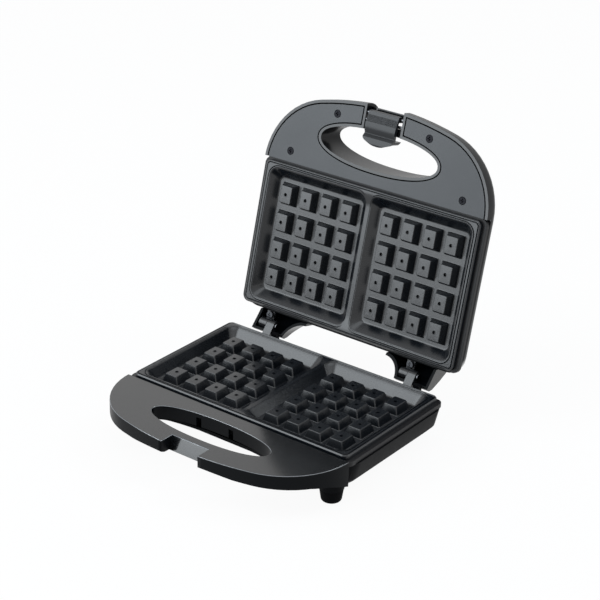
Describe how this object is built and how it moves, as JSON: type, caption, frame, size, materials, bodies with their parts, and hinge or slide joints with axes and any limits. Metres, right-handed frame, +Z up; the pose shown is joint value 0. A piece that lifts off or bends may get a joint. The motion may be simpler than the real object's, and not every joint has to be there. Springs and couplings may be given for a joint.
{
  "type": "waffle maker",
  "caption": "Waffle maker with a swung-open lid, facing grids of square teeth, finger-gap handles front and top, and a hanging latch clip.",
  "frame": {"origin": "middle of the box round the object with its lid open, on the surface it stands on", "axes": "+X to the right hinge, seen from the handle; +Y from the handle to the hinges; +Z up"},
  "size_m": [0.228, 0.2811, 0.2425],
  "materials": {
    "base_moulding": "black moulded plastic with a fine texture",
    "gloss_moulding": "polished black plastic",
    "handle_cover": "satin dark grey plastic",
    "frame_moulding": "matt black heat-proof plastic",
    "coated_casting": "die-cast aluminium with a dark non-stick coating",
    "heater_tube": "oxidised steel tube",
    "strap_steel": "plain sheet steel",
    "screw_steel": "zinc-plated steel",
    "dark_screw": "blackened steel",
    "shield_sheet": "plain sheet",
    "thermostat_case": "moulded phenolic",
    "fuse_sleeve": "white sleeve",
    "terminal_body": "white moulding",
    "gland": "black moulding",
    "wire_sleeve": "silicone-covered wire",
    "foot_rubber": "matt black rubber",
    "hinge_metal": "grey stove-enamelled steel",
    "pin_steel": "bright drawn steel",
    "lamp_red": "clear red plastic",
    "lamp_green": "clear green plastic",
    "lamp_board": "plain laminate and lamp bodies",
    "latch_moulding": "satin dark grey plastic"
  },
  "bodies": {
    "base": {"lower_housing": "base_moulding", "lower_handle_shell": "gloss_moulding", "lower_plate_frame": "frame_moulding", "lower_grill_plate": "coated_casting", "lower_heater": "heater_tube", "lower_heater_straps": "strap_steel", "lower_strap_screws": "screw_steel", "lower_heat_shield": "shield_sheet", "lower_plate_screws": "screw_steel", "lower_handle_screws": "screw_steel", "lower_thermostat": "thermostat_case", "thermal_fuse": "fuse_sleeve", "terminal_block": "terminal_body", "cord_gland": "gland", "lower_wiring": "wire_sleeve", "feet": "foot_rubber", "base_hinge_brackets": "hinge_metal", "base_hinge_screws": "screw_steel", "hinge_pins": "pin_steel"},
    "lid": {"lid_shell": "gloss_moulding", "lid_top_panel": "handle_cover", "lid_handle_cover": "handle_cover", "handle_cover_screws": "dark_screw", "upper_plate_frame": "frame_moulding", "upper_grill_plate": "coated_casting", "upper_heater": "heater_tube", "upper_heater_straps": "strap_steel", "upper_strap_screws": "screw_steel", "upper_heat_shield": "shield_sheet", "upper_plate_screws": "screw_steel", "upper_thermostat": "thermostat_case", "power_lamp_lens": "lamp_red", "ready_lamp_lens": "lamp_green", "lamp_holder": "lamp_board", "upper_wiring": "wire_sleeve", "lid_hinge_brackets": "hinge_metal", "lid_hinge_screws": "screw_steel", "latch_pin": "pin_steel", "latch_stop_pin": "pin_steel"},
    "latch": {"latch_clip": "latch_moulding"}
  },
  "joints": [
    {"name": "lid_hinge", "type": "hinge", "parent": "base", "child": "lid", "pos_m": [0, 0.06754, 0.0412], "axis": [1, 0, 0], "range_deg": [0, 104.4]},
    {"name": "latch_swing", "type": "hinge", "parent": "lid", "child": "latch", "pos_m": [0, 0.12059, 0.23535], "axis": [-1, 0, 0], "range_deg": [0, 90]}
  ]
}
